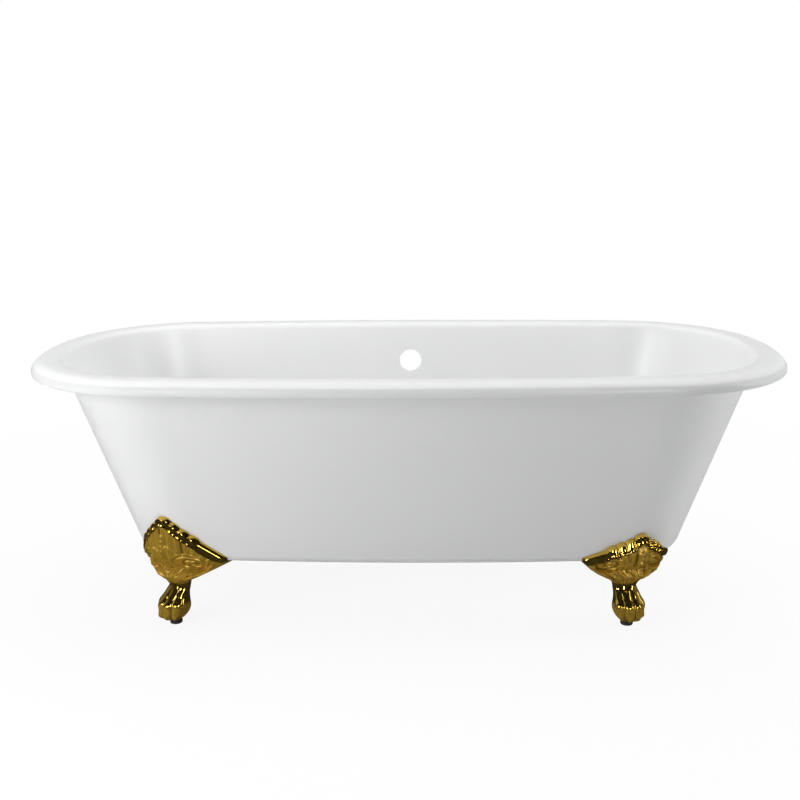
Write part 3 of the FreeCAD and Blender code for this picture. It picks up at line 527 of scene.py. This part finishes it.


# glossier inside the basin and on the rim than on the satin-painted outside, which is also painted greyer as
# painted shade
enamel, tree, shader, point = new_material("white_enamel")
shader.inputs["IOR"].default_value = 1.5
outer = add_node(tree, "ShaderNodeAttribute", attribute_name="outside").outputs["Fac"]
stain = add_node(tree, "ShaderNodeTexNoise", in_Scale=3.5, in_Detail=3.0)
inside_white = two_colours(tree, stain.outputs[0], (0.86, 0.861, 0.863), (0.89, 0.89, 0.888))
# painted shade: the outside's white is greyer than the inside's
outside_white_with_shade = two_colours(tree, stain.outputs[0], (0.72, 0.722, 0.727), (0.745, 0.746, 0.749))
wire(tree, (point.outputs["Object"], stain.inputs["Vector"]),
     (blended(tree, outer, inside_white, outside_white_with_shade), shader.inputs["Base Color"]),
     (span(tree, outer, 0.3, 0.38), shader.inputs["Roughness"]))
cast_bump(tree, shader, point, 9.0, 420.0, 0.05, 0.12, 0.004)
tub.data.materials.clear()
tub.data.materials.append(enamel)
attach(tub, "tub")
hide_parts("tub_shell")

# ---------------------------------------------------------------- feet
# Four hollow castings, plated in deep yellow polished brass: an acanthus shield with a rolled
# scalloped edge that is shaped to the tub's corner, and under it a smooth ankle and a lion's paw
# with four toes. A lug behind takes the bolt to the tub.

WING, WING_RISE, LOBE = 105.0, 16.0, 17.0  # half width, tips over the base, half the middle lobe
SCALLOP, SCALLOPS_END = 0.18, 0.54  # of the way from the middle lobe to the tip
BAND_DEPTH, FLUTES, COLLAR_LOBES, STEM_BEADS = 17, 8.5, 4.5, 12
SCROLL_ASIDE, SCROLL_HEIGHT, SCROLL_STRETCH, SCROLL_RADIUS, SCROLL_PITCH = 52.0, 151.0, 1.5, 21.0, 10.5
GAP, DRAPE, BULGE, LEDGE, EDGE_ROLL = 0.4, 12.0, 15, 6.5, 4.5  # off the tub: the back, then the front
TOE_SPACING, FRONT = 40.0, 82  # in degrees
CLAW, ROOT, KNUCKLE = 22, 28, 54  # heights of a toe's swellings
LUG = {"x0": -96, "x1": -24, "half": 22, "z0": 114.1, "z1": 125.9, "radius": 2.5}
FAN_COLUMNS, FAN_ROWS, BACK_STEP, PAW_COLUMNS = 349, 209, 4, 160


def reach_of_tub(across, height, foot, spread):
    """How far forward of a foot's axis the tub's outside lies, let out by a spread: by halving.

    The outside is the plain leaning wall, drawn in below by the base's rounding.
    """
    near, far = np.full(across.shape, -150.0), np.full(across.shape, 160.0)
    radius, wall_slope = BASE_RADIUS + spread, 0.285
    wall_lean = math.atan(wall_slope)
    tangent = radius / math.tan((math.pi / 2 + wall_lean) / 2)
    for _ in range(20):
        middle = (near + far) / 2
        world = at_foot(np.stack([middle, across, height], -1), foot).reshape(-1, 3)
        above = world[:, 2] - (BASE - spread)
        depth = np.clip(radius - above, 0, radius)
        drawn = np.where(depth > radius * math.sin(wall_lean), tangent + wall_slope * np.clip(above, 0, None)
                         - np.sqrt(np.clip(radius ** 2 - depth ** 2, 0, None)), 0)
        outside_tub = (body_gap(world) + drawn - spread / math.cos(wall_lean) > 0).reshape(across.shape)
        near, far = np.where(outside_tub, near, middle), np.where(outside_tub, middle, far)
    return (near + far) / 2


def smooth_step(value, low, high):
    """Eased step from 0 at low to 1 at high."""
    t = np.clip((value - low) / (high - low), 0, 1)
    return t * t * (3 - 2 * t)


def half_width(height):
    """Half the shield's width: narrow at the neck, opening to the wing tips, then even."""
    return np.interp(height, [86, 92, 98, 104, 110, 117, 124, 133, 143, 153, 163],
                     [28.5, 29.5, 32, 37, 45, 58, 71, 84, 93, 100, WING])


def down_the_edge(across, foot):
    """Share of the way from the crest's lobe down to the wing tip, and how far off the crest."""
    off = across - FEET[foot]["aside"]
    run = WING - np.sign(off) * FEET[foot]["aside"] - LOBE
    return np.clip((np.abs(off) - LOBE) / run, 0, 1), off


def crest_line(across, foot):
    """Top edge: a middle lobe, three scallops going down each side and a straight run to the tip."""
    along, off = down_the_edge(across, foot)
    tip, shoulder = BASE + WING_RISE, BASE + FEET[foot]["crest"] - 15
    line = shoulder + (tip - shoulder) * along
    in_scallop = np.clip(along / SCALLOP, 0, 2.9999) % 1
    arch = np.sqrt(np.clip(1 - (2 * in_scallop - 1) ** 2, 0, 1))
    line = line + np.where((along > 0) & (along < SCALLOPS_END), 5.5 * arch, 0)
    return line + np.where(np.abs(off) < LOBE, 15 * np.sqrt(np.clip(1 - (off / LOBE) ** 2, 0, 1)), 0)


def leg_middle(height):
    """How far the leg's middle lies forward of the axis, and half its depth, by height."""
    rows = [43, 74, 92, 121, 168, 220]
    return np.interp(height, rows, [0, -8, -19, -9, 4, 38]), np.interp(height, rows, [30, 25, 22, 30, 35, 10])


def shield_relief(fan, across, height, foot):
    """Height of the carving in mm and how deep in a groove it lies, from 0 to 1, which the brass darkens as
    painted shade.

    A rolled band with lobes runs below the edge. Under it is a leaf in tiers, whose flutes follow
    the fan's own columns, so they open from the neck to the band. Each tier ends in a scalloped row
    of leaf tips, and the scroll at each side is a spiral wave inside an oval.
    """
    along, off = down_the_edge(across, foot)
    below = crest_line(across, foot) - height
    lobe = np.where(np.abs(off) < LOBE, np.cos(off / LOBE * math.pi / 2),
                    np.abs(np.sin(np.clip(along / SCALLOP, 0, 3) * math.pi)))
    down_the_band = np.sin(np.clip((below - 1) / BAND_DEPTH, 0, 1) * math.pi / 2)
    band = smooth_step(below, 0, 2) * np.sqrt(np.clip(1 - np.clip((below - BAND_DEPTH) / 6, 0, 1) ** 2, 0, 1))
    lobes = band * (1.0 + 7.0 * down_the_band * (1 - 0.4 * smooth_step(along, 0.6, 1.0))
                    + 3.0 * np.where(along < SCALLOPS_END, lobe ** 0.8, 0.2))
    leaf = smooth_step(below, 22, 27)
    rise = np.clip((height - 96) / np.maximum(height + below - 120, 1), 0, 1)
    sweep = np.abs(fan) * FLUTES * (1 - 0.22 * rise * (1 - np.abs(fan)))
    flute = 0.5 - 0.5 * np.cos(2 * math.pi * sweep)
    leaf_group = np.abs(np.sin(math.pi * sweep / 3))
    tip_row = 0.16 * leaf_group
    tiers = sum(3.2 * smooth_step(-(rise - row - tip_row), -0.03, 0.03) * smooth_step(rise, row - 0.3, row)
                for row in (0.26, 0.56))
    stem = 4.5 * np.exp(-((across - FEET[foot]["aside"] * rise) / 6.5) ** 2)
    stem = stem * (1 + 0.3 * np.cos(height / STEM_BEADS * 2 * math.pi))
    relief = 2.6 * flute + 2.4 * leaf_group + tiers
    relief = relief + stem * smooth_step(rise, 0.05, 0.2) * smooth_step(-rise, -0.95, -0.8)
    for hand in (-1, 1):
        sideways, upwards = (across - hand * SCROLL_ASIDE) * hand, height - SCROLL_HEIGHT
        long_way = (sideways * 0.94 + upwards * -0.34) / SCROLL_STRETCH
        short_way = upwards * 0.94 + sideways * 0.34
        far = np.hypot(long_way, short_way)
        curl = 3.0 * np.cos(2 * math.pi * far / SCROLL_PITCH - np.arctan2(short_way, long_way))
        inside = smooth_step(-far, -23, -18)
        frame_ridge = 2.6 * np.exp(-((far - SCROLL_RADIUS) / 3.0) ** 2)
        relief = relief * (1 - inside) + (curl + 3.6) * inside + frame_ridge
    collar = 3.2 * np.abs(np.sin(math.pi * fan * COLLAR_LOBES)) ** 1.3 * smooth_step(-height, -122, -110)
    plain_end = smooth_step(-np.abs(across), -96, -82)
    # painted shade: the groove value darkens the brass in the carving's low places and along a line under the
    # band
    groove = leaf * plain_end * 0.85 * smooth_step(-relief, -2.2, -0.3)
    groove = np.maximum(groove, np.exp(-((below - 24) / 2.0) ** 2))
    return lobes + leaf * (relief * plain_end * smooth_step(height, 104, 116) + collar), groove


def shield_part(foot):
    """Shield of one foot as a closed sheet, and the groove's value for each of its points.

    A front grid and a back grid meet round the edge. Columns fan out from the neck to the top edge.
    The back lies on the tub, and below it on the leg's inner side. The front lies ahead of the back
    by a thickness that rolls off to nothing at the edge, plus the carving. The plain back has larger
    cells, which keep every point of the shared edge.
    """
    crest = FEET[foot]["crest"]
    s = np.sin(np.linspace(-1, 1, FAN_COLUMNS) * math.pi / 2 * 0.985) / math.sin(math.pi / 2 * 0.985)
    v = 1 - (1 - np.linspace(0, 1, FAN_ROWS)) ** 1.25
    s_grid, v_grid = np.meshgrid(s, v)
    top = crest_line(s_grid * WING, foot)
    foot_line = 100 - 4 * np.abs(s_grid) - 8 * np.abs(np.sin(s_grid * math.pi * COLLAR_LOBES)) ** 1.3
    height = foot_line + (top - foot_line) * v_grid
    across = s_grid * half_width(height)
    wall = reach_of_tub(across, np.maximum(height, BASE - 12), foot, GAP)
    drape = reach_of_tub(across, np.maximum(height, BASE - 10), foot, DRAPE)
    middle, depth = leg_middle(height)
    round_leg = middle + depth * np.sqrt(np.clip(1 - s_grid ** 2, 0, 1)) + 1.0
    bulge = (BULGE * np.exp(-(across / 46) ** 2) * smooth_step(height, 112, 156)
             * smooth_step(-height, -(BASE + crest - 18), -172))
    low = smooth_step(-height, -148, -114)
    front = (drape + bulge) * (1 - low) + round_leg * low - LEDGE * smooth_step(height - top, -24, -14)
    thick = 9 + 6 * smooth_step(-height, -167, -112)
    on_wall = np.clip(wall, front - 34, front - 4)
    onto_wall = smooth_step(height, BASE - 14, BASE + 2)
    inner_leg = middle + (depth - thick) * np.sqrt(np.clip(1 - s_grid ** 2, 0, 1)) + 1.0
    below_tub = (front - thick) * (1 - low) + inner_leg * low
    back = np.where(height > BASE, on_wall, below_tub * (1 - onto_wall) + on_wall * onto_wall)
    edge = np.minimum(top - height, (half_width(height) * (1 - np.abs(s_grid))) * 1.2 + 0.02)
    edge = np.minimum(edge, (height - foot_line) * 1.6 + 0.02)
    roll = np.sqrt(np.clip(1 - (1 - np.clip(edge / EDGE_ROLL, 0, 1)) ** 2, 0, 1))
    relief, groove = shield_relief(s_grid, across, height, foot)
    carved = front + relief * smooth_step(edge, 0, 5)
    front = back + (carved - back) * roll
    face = at_foot(np.stack([front, across, height], -1), foot)
    rear = at_foot(np.stack([back, across, height], -1), foot)
    i, j = np.meshgrid(np.arange(FAN_ROWS - 1), np.arange(FAN_COLUMNS - 1), indexing="ij")
    quads = np.stack([i * FAN_COLUMNS + j, i * FAN_COLUMNS + j + 1, (i + 1) * FAN_COLUMNS + j + 1,
                      (i + 1) * FAN_COLUMNS + j], -1).reshape(-1, 4)
    points = np.concatenate([face.reshape(-1, 3), rear.reshape(-1, 3)])
    number = np.arange(FAN_ROWS * FAN_COLUMNS).reshape(FAN_ROWS, FAN_COLUMNS) + FAN_COLUMNS * FAN_ROWS
    row, column = (corner.reshape(-1, 1) for corner in np.meshgrid(
        np.arange(0, FAN_ROWS - 1, BACK_STEP), np.arange(0, FAN_COLUMNS - 1, BACK_STEP), indexing="ij"))
    step, start, end = np.arange(BACK_STEP), np.zeros(BACK_STEP, int), np.full(BACK_STEP, BACK_STEP)
    up, along = np.concatenate([start, step, end, end - step]), np.concatenate([step, end, end - step, start])
    cells = number[row + up, column + along][:, ::-1]
    on_edge = np.hstack([row == 0, column + BACK_STEP == FAN_COLUMNS - 1, row + BACK_STEP == FAN_ROWS - 1,
                         column == 0])
    kept = (np.repeat(on_edge, BACK_STEP, 1) | (np.arange(4 * BACK_STEP) % BACK_STEP == 0))[:, ::-1]
    sizes = kept.sum(1)
    plain = [cells[sizes == size][kept[sizes == size]].reshape(-1, size) for size in np.unique(sizes)]
    return (points, quads, *plain), np.concatenate([groove.ravel(), np.zeros(groove.size)])


def paw_part(foot):
    """Ankle and paw of one foot, and the groove's value, painted shade between the toes, for each of its
    rings' points.

    Level rings about the leg's own middle are pushed out by four toes and their claws. Each toe is
    a half-round ridge about its bearing. It swells at the knuckle and again at the claw's root, and
    the claw narrows to its tip under the paw.
    """
    turn = np.linspace(-math.pi, math.pi, PAW_COLUMNS, endpoint=False)
    height = np.concatenate([np.linspace(10.2, 24, 26), np.linspace(24, 86, 68)[1:],
                             np.linspace(86, 124, 26)[1:]])
    angle, level = np.meshgrid(turn, height)
    rows = [10, 13, 18, 26, 36, 45, 54, 64, 74, 84, 93, 106, 124]
    side = np.interp(level, rows, [9, 17, 23, 28.5, 32, 33, 31, 29, 28, 28, 28, 30, 36])
    ahead = np.interp(level, rows, [10, 19, 26, 31.5, 34.5, 34.5, 31.5, 27, 23.5, 21, 20, 21, 24])
    behind = np.interp(level, rows, [9, 17, 24, 30, 33, 34, 32, 28, 24, 21, 20, 22, 26])
    middle = np.interp(level, rows, [4, 3, 2, 1, 0, 0, -2, -6, -10, -15, -18, -18, -14])
    kernel = np.hanning(9) / np.hanning(9).sum()
    bearing = np.degrees(angle)
    spacing = TOE_SPACING - 5 * smooth_step(-level, -40, -12)
    toes, claw = np.zeros_like(level), np.zeros_like(level)
    for place in (-1.5, -0.5, 0.5, 1.5):
        off = (bearing - place * spacing) / spacing
        ridge = np.sqrt(np.clip(1 - (np.abs(off) * 1.9) ** 2, 0, 1))
        toes = np.maximum(toes, ridge)
        claw = np.maximum(claw, np.exp(-(off / 0.17) ** 2))
    in_front = np.abs(bearing) < FRONT
    swell = (3.6 * smooth_step(-level, -88, -70) + 4.6 * np.exp(-((level - KNUCKLE) / 11) ** 2)
             + 3.0 * np.exp(-((level - ROOT) / 8) ** 2)) * smooth_step(level, 10, CLAW)
    pad = 2.5 * np.exp(-((np.abs(bearing) - 180) / 60) ** 2) * np.exp(-((level - 34) / 16) ** 2)
    out = toes * swell - 1.8 * (1 - toes) * smooth_step(-level, -82, -56) * in_front
    out = out - 5.0 * (1 - toes) * smooth_step(-level, -34, -14) * in_front
    out = out + claw * 3.6 * np.exp(-((level - CLAW) / 7) ** 2) + pad
    depth = np.where(np.cos(angle) > 0, ahead, behind)
    x = middle + (depth + out) * np.cos(angle)
    y = (side + out) * np.sin(angle)
    for array in (x, y):
        padded = np.concatenate([np.repeat(array[:1], 4, 0), array, np.repeat(array[-1:], 4, 0)])
        array[:] = sum(padded[k:k + len(array)] * kernel[k] for k in range(9))
    points = at_foot(np.stack([x, y, level], -1), foot)
    ends = at_foot(np.array([[4.0, 0, 10.0], [-14.0, 0, 124.0]]), foot)
    grid = grid_faces(len(height), PAW_COLUMNS)
    bottom = np.arange(PAW_COLUMNS)
    last = len(height) * PAW_COLUMNS
    top = bottom + (len(height) - 1) * PAW_COLUMNS
    caps = np.concatenate([
        np.column_stack([np.full(PAW_COLUMNS, last), np.roll(bottom, -1), bottom]),
        np.column_stack([np.full(PAW_COLUMNS, last + 1), top, np.roll(top, -1)])])
    # painted shade between the toes, read by the brass as a groove
    between = smooth_step(-toes, -0.45, -0.1) * smooth_step(-level, -84, -70) * (np.abs(bearing) < 74)
    return (np.concatenate([points.reshape(-1, 3), ends]), grid, caps), between.ravel()


def rounded_block(x0, x1, half, z0, z1, radius, foot):
    """Block with rounded long edges, as rings of a rounded rectangle carried along X."""
    swing = np.add.outer(np.arange(4) * math.pi / 2, np.linspace(0, math.pi / 2, 5))
    sides = np.array([(1, 1), (-1, 1), (-1, -1), (1, -1)]) * [half - radius, (z1 - z0) / 2 - radius]
    section = (sides[:, None] + radius * np.stack([np.cos(swing), np.sin(swing)], -1)).reshape(-1, 2)
    section = section + [0, (z0 + z1) / 2]
    centre = section.mean(0)
    rows = [np.column_stack([np.full(len(section), float(x)), centre + (section - centre) * share])
            for x, share in ((x0, 0), (x0, 0.9), (x0 + 1, 1), (x1, 1), (x1, 0))]
    return at_foot(np.stack(rows), foot), grid_faces(len(rows), len(section))


# a plated or moulded skin: painted shade in the hollows, found from the shape itself, and slow patches of
# wear
wear, wear_in, wear_out = new_group(
    "hollow_shade_and_wear", [("Point", "NodeSocketVector", None), ("Patch Size", "NodeSocketFloat", 40.0)],
    [("Hollow", "NodeSocketFloat"), ("Patch", "NodeSocketFloat")])
geometry = add_node(wear, "ShaderNodeNewGeometry")
# painted shade wherever the surface is concave
hollow = add_node(wear, "ShaderNodeMapRange", in_From_Min=0.5, in_From_Max=0.4)
patch = add_node(wear, "ShaderNodeTexNoise", in_Detail=5.0, in_Roughness=0.65)
wire(wear, (geometry.outputs["Pointiness"], hollow.inputs["Value"]),
     (wear_in.outputs["Point"], patch.inputs["Vector"]),
     (wear_in.outputs["Patch Size"], patch.inputs["Scale"]),
     (hollow.outputs[0], wear_out.inputs["Hollow"]), (patch.outputs[0], wear_out.inputs["Patch"]))


def shade_and_wear_masks(tree, point, patch_size):
    """The group's painted hollow shade and wear patches at a material's points."""
    masks = add_node(tree, "ShaderNodeGroup", node_tree=wear, in_Patch_Size=patch_size)
    wire(tree, (point.outputs["Object"], masks.inputs["Point"]))
    return masks.outputs


# mirror-bright on the band, the ankle and the claws, satin in the carving, and painted shade in dark brown in
# its grooves and hollows
brass, tree, shader, point = new_material("polished_brass_plate")
masks = shade_and_wear_masks(tree, point, 60.0)
carving = add_node(tree, "ShaderNodeAttribute", attribute_name="carved").outputs["Fac"]
groove_shade = add_node(tree, "ShaderNodeAttribute", attribute_name="groove").outputs["Fac"]
mirror_plate = two_colours(tree, masks["Patch"], (0.78, 0.53, 0.10), (0.68, 0.45, 0.07))
satin_plate = two_colours(tree, masks["Patch"], (0.55, 0.335, 0.036), (0.44, 0.26, 0.024))
# painted shade: concave spots and carved grooves are mixed towards dark brown
deep = add_node(tree, "ShaderNodeMath", operation="MAXIMUM")
dark = add_node(tree, "ShaderNodeMath", operation="MULTIPLY", in_1=0.8)
shaded = add_node(tree, "ShaderNodeMix", data_type="RGBA", in_B=(0.07, 0.035, 0.004, 1))
wire(tree, (masks["Hollow"], deep.inputs[0]), (groove_shade, deep.inputs[1]), (deep.outputs[0], dark.inputs[0]),
     (dark.outputs[0], shaded.inputs["Factor"]),
     (blended(tree, carving, mirror_plate, satin_plate), shaded.inputs["A"]),
     (shaded.outputs["Result"], shader.inputs["Base Color"]),
     (span(tree, carving, 1.0, 0.45), shader.inputs["Metallic"]),
     (span(tree, carving, 0.06, 0.34), shader.inputs["Roughness"]))
cast_bump(tree, shader, point, 45.0, 900.0, 0.15, 0.07, 0.0012)

for foot in FEET:
    shield, shield_groove = shield_part(foot)
    paw, paw_groove = paw_part(foot)
    casting = put(make_mesh(f"claw_foot_{foot}", [shield, paw, rounded_block(**LUG, foot=foot)],
                            groove=np.concatenate([shield_groove, paw_groove])), f"claw_foot_{foot}")
    skin = points_of(casting.data) - [FEET[foot]["x"], FEET[foot]["y"], 0]
    turn = math.radians(FEET[foot]["turn"])
    across, height = skin[:, 1] * math.cos(turn) - skin[:, 0] * math.sin(turn), skin[:, 2]
    below = crest_line(across, foot) - height
    on_shield = smooth_step(below, 20, 26) * smooth_step(height, 96, 106) * 0.9 + 0.05
    write_values(casting.data, "carved", np.maximum(on_shield, smooth_step(-height, -58, -44) * 0.9))
    casting.data.materials.append(brass)
    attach(casting, "tub")
    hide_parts(f"foot_{foot}")

# ---------------------------------------------------------------- bolts, washers and nuts
# Zinc-plated steel: an M10 bolt, washer and nut hold each foot to the tub, and an M12 nut is
# pressed into each paw. The frame's own solids are shown.


def worn_material(name, patch_size, first, second, smooth, rough):
    """A material whose colour and roughness go between two values with the patches of wear."""
    material, tree, shader, point = new_material(name)
    patches = shade_and_wear_masks(tree, point, patch_size)["Patch"]
    wire(tree, (two_colours(tree, patches, first, second), shader.inputs["Base Color"]),
         (span(tree, patches, smooth, rough), shader.inputs["Roughness"]))
    return material, tree, shader, point


steel, tree, shader, point = worn_material("zinc_plated_steel", 130.0, (0.62, 0.63, 0.64),
                                           (0.48, 0.47, 0.44), 0.22, 0.46)
shader.inputs["Metallic"].default_value = 1.0
cast_bump(tree, shader, point, 220.0, 1500.0, 0.4, 0.2, 0.0004)
for foot in FEET:
    for kind in ("foot_bolt", "foot_washer", "foot_nut", "leveller_nut"):
        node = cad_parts[f"{kind}_{foot}"]
        node.data.materials.clear()
        node.data.materials.append(steel)

# ---------------------------------------------------------------- levelling screws
# M12 steel screws with a cut thread, a hexagon for a spanner and a round foot in the glide.

PITCH, THREAD, THREAD_ROOT, HALF_HEXAGON = 1.75, 6.0, 5.0, 7.0
SCREW_END, SCREW_COLUMNS = 72.0, 48


def screw_part(foot):
    """Rings about the screw's axis: the thread's radius goes up and down once a turn and pitch."""
    turn = np.linspace(0, 2 * math.pi, SCREW_COLUMNS, endpoint=False)
    flat_angle = (turn + math.pi / 6) % (math.pi / 3) - math.pi / 6
    hexagon = HALF_HEXAGON / np.cos(flat_angle)
    thread_height = np.append(np.linspace(11.8, 71.4, 342), SCREW_END)
    phase = (thread_height[:, None] / PITCH - turn / (2 * math.pi)) % 1
    thread = THREAD_ROOT + (THREAD - THREAD_ROOT) * np.clip(1.35 - np.abs(phase - 0.5) * 2.7, 0, 1)
    thread = np.minimum(thread, 5.2 + (SCREW_END + 0.2 - thread_height[:, None]) * 0.9)
    even = np.ones(SCREW_COLUMNS)
    radius = np.vstack([np.outer([0, 6.6, 7.0, 7.0, 7.0], even), hexagon, np.minimum(hexagon, 7.7), hexagon,
                        5.6 * even, thread, 0 * even])
    height = np.concatenate([[3.0, 3.0, 3.5, 6.99, 7.0, 7.0, 11.6, 11.7, 11.7], thread_height, [SCREW_END]])
    rows = np.stack([radius * np.cos(turn), radius * np.sin(turn), np.outer(height, even)], -1)
    return at_foot(rows, foot), grid_faces(len(height), SCREW_COLUMNS)


for foot in FEET:
    screw = put(make_mesh(f"screw_{foot}", [screw_part(foot)], sharp=32), f"screw_{foot}")
    screw.data.materials.append(steel)
    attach(screw, f"screw_{foot}")
    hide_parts(f"leveller_screw_{foot}")

# ---------------------------------------------------------------- glides
# Moulded black rubber cups, 28 mm across, that stand on the floor and hold the screws' ends.

GLIDE_PROFILE = [(0, 0), (12.0, 0), (12.9, 0.3), (13.6, 0.9), (14.0, 1.8), (14.0, 2.6), (13.6, 2.9),
                 (13.6, 3.3), (14.0, 3.6), (14.0, 5.9), (13.7, 6.6), (13.0, 7.0), (7.9, 7.0), (7.4, 6.7),
                 (7.3, 6.2), (7.3, 3.0), (0, 3.0)]
rubber, tree, shader, point = worn_material("moulded_rubber", 200.0, (0.018, 0.018, 0.019),
                                            (0.05, 0.048, 0.045), 0.5, 0.75)
cast_bump(tree, shader, point, 500.0, 2500.0, 0.5, 0.25, 0.0003)

for foot in FEET:
    cup, cup_faces = turned_part(GLIDE_PROFILE, 64)
    glide = put(make_mesh(f"glide_{foot}", [(at_foot(cup, foot), cup_faces)], sharp=40), f"glide_{foot}")
    glide.data.materials.append(rubber)
    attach(glide, f"glide_{foot}")
    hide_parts(f"leveller_glide_{foot}")
